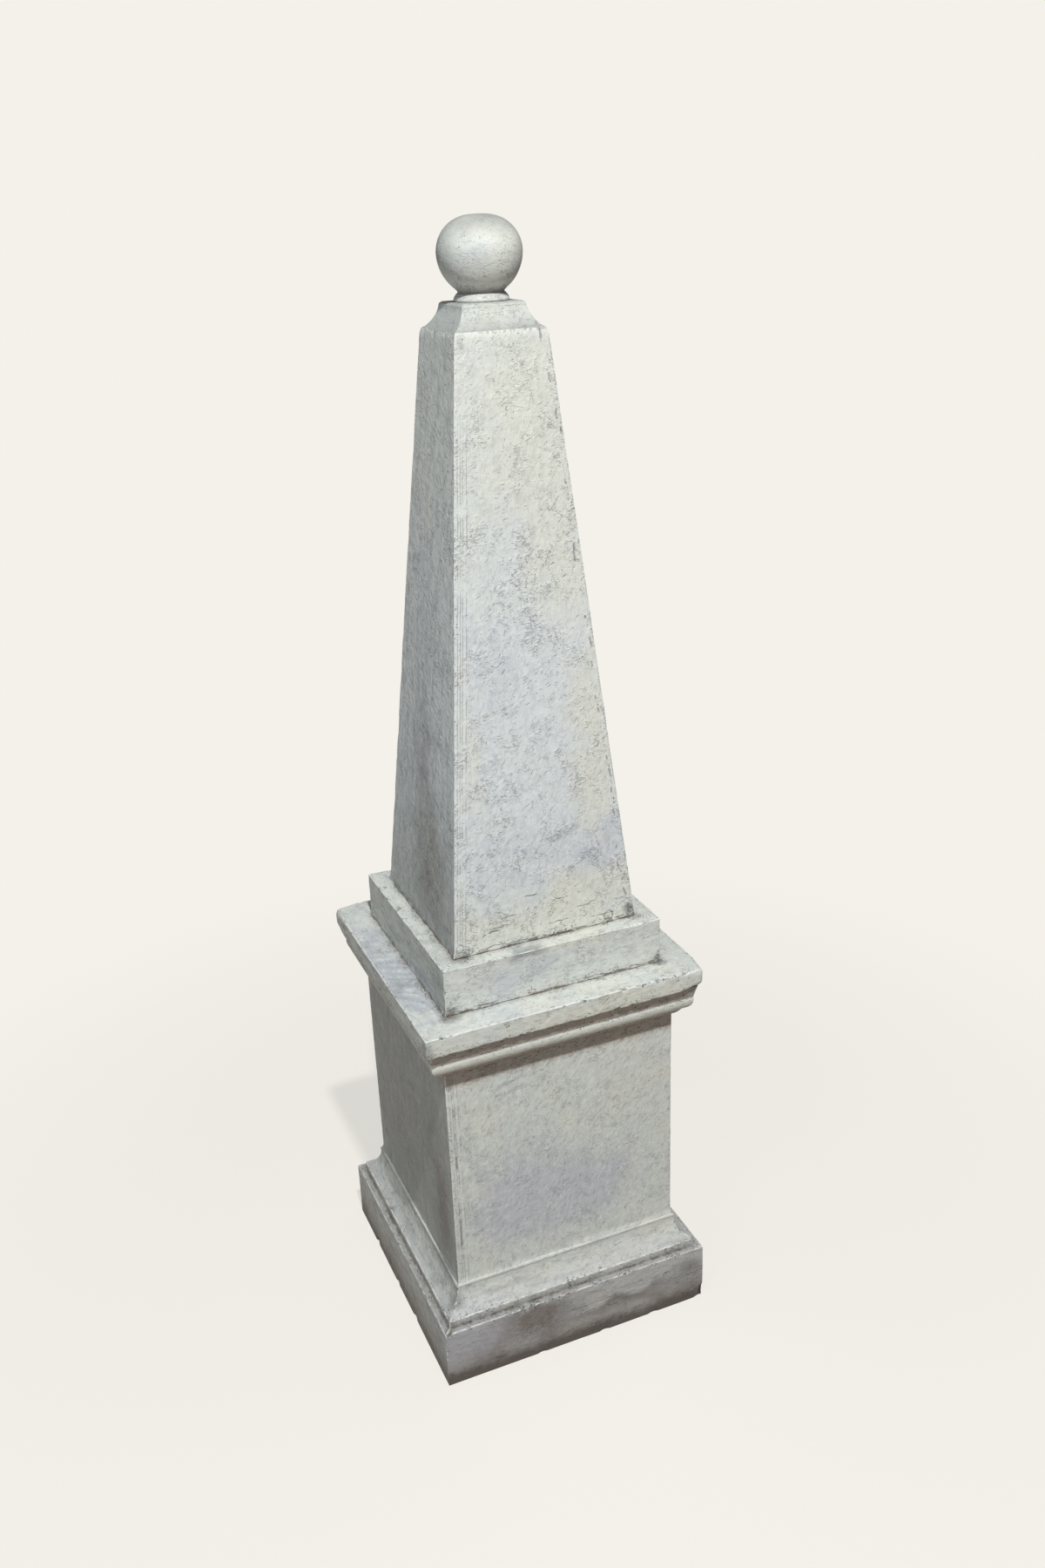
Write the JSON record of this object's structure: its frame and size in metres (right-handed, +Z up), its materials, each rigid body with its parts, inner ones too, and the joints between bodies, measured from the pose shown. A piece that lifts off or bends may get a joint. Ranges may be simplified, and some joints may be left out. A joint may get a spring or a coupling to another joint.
{
  "type": "garden obelisk",
  "caption": "Free-standing decorative obelisk: tapered four-sided shaft with ball finial on a stepped pedestal with moulded cap and base, in distressed off-white paint.",
  "frame": {"origin": "middle of the square footprint, on the floor", "axes": "+Z up along the centre line of the shaft, -Y out of the front face, +X to the right as seen from the front"},
  "size_m": [0.41, 0.41, 1.5185],
  "materials": {
    "painted_board": "sheet wood under off-white gesso and paint, distressed with a grey-brown wash, matt to eggshell",
    "painted_moulding": "moulded wood under the same off-white distressed paint",
    "painted_finial": "turned and shaped wood under the same paint, eggshell",
    "bare_board": "unpainted sheet wood, seen only from below"
  },
  "bodies": {
    "root": {"plinth_left": "painted_board", "plinth_right": "painted_board", "plinth_front": "painted_board", "plinth_back": "painted_board", "die_left": "painted_board", "die_right": "painted_board", "die_front": "painted_board", "die_back": "painted_board", "step_left": "painted_board", "step_right": "painted_board", "step_front": "painted_board", "step_back": "painted_board", "shaft_left": "painted_board", "shaft_right": "painted_board", "shaft_front": "painted_board", "shaft_back": "painted_board", "cap_slab": "painted_board", "step_top": "painted_board", "plinth_deck": "bare_board", "base_moulding_left": "painted_moulding", "base_moulding_right": "painted_moulding", "base_moulding_front": "painted_moulding", "base_moulding_back": "painted_moulding", "bed_moulding_left": "painted_moulding", "bed_moulding_right": "painted_moulding", "bed_moulding_front": "painted_moulding", "bed_moulding_back": "painted_moulding", "shaft_cap": "painted_finial", "neck_collar": "painted_finial", "ball": "painted_finial"}
  },
  "joints": []
}
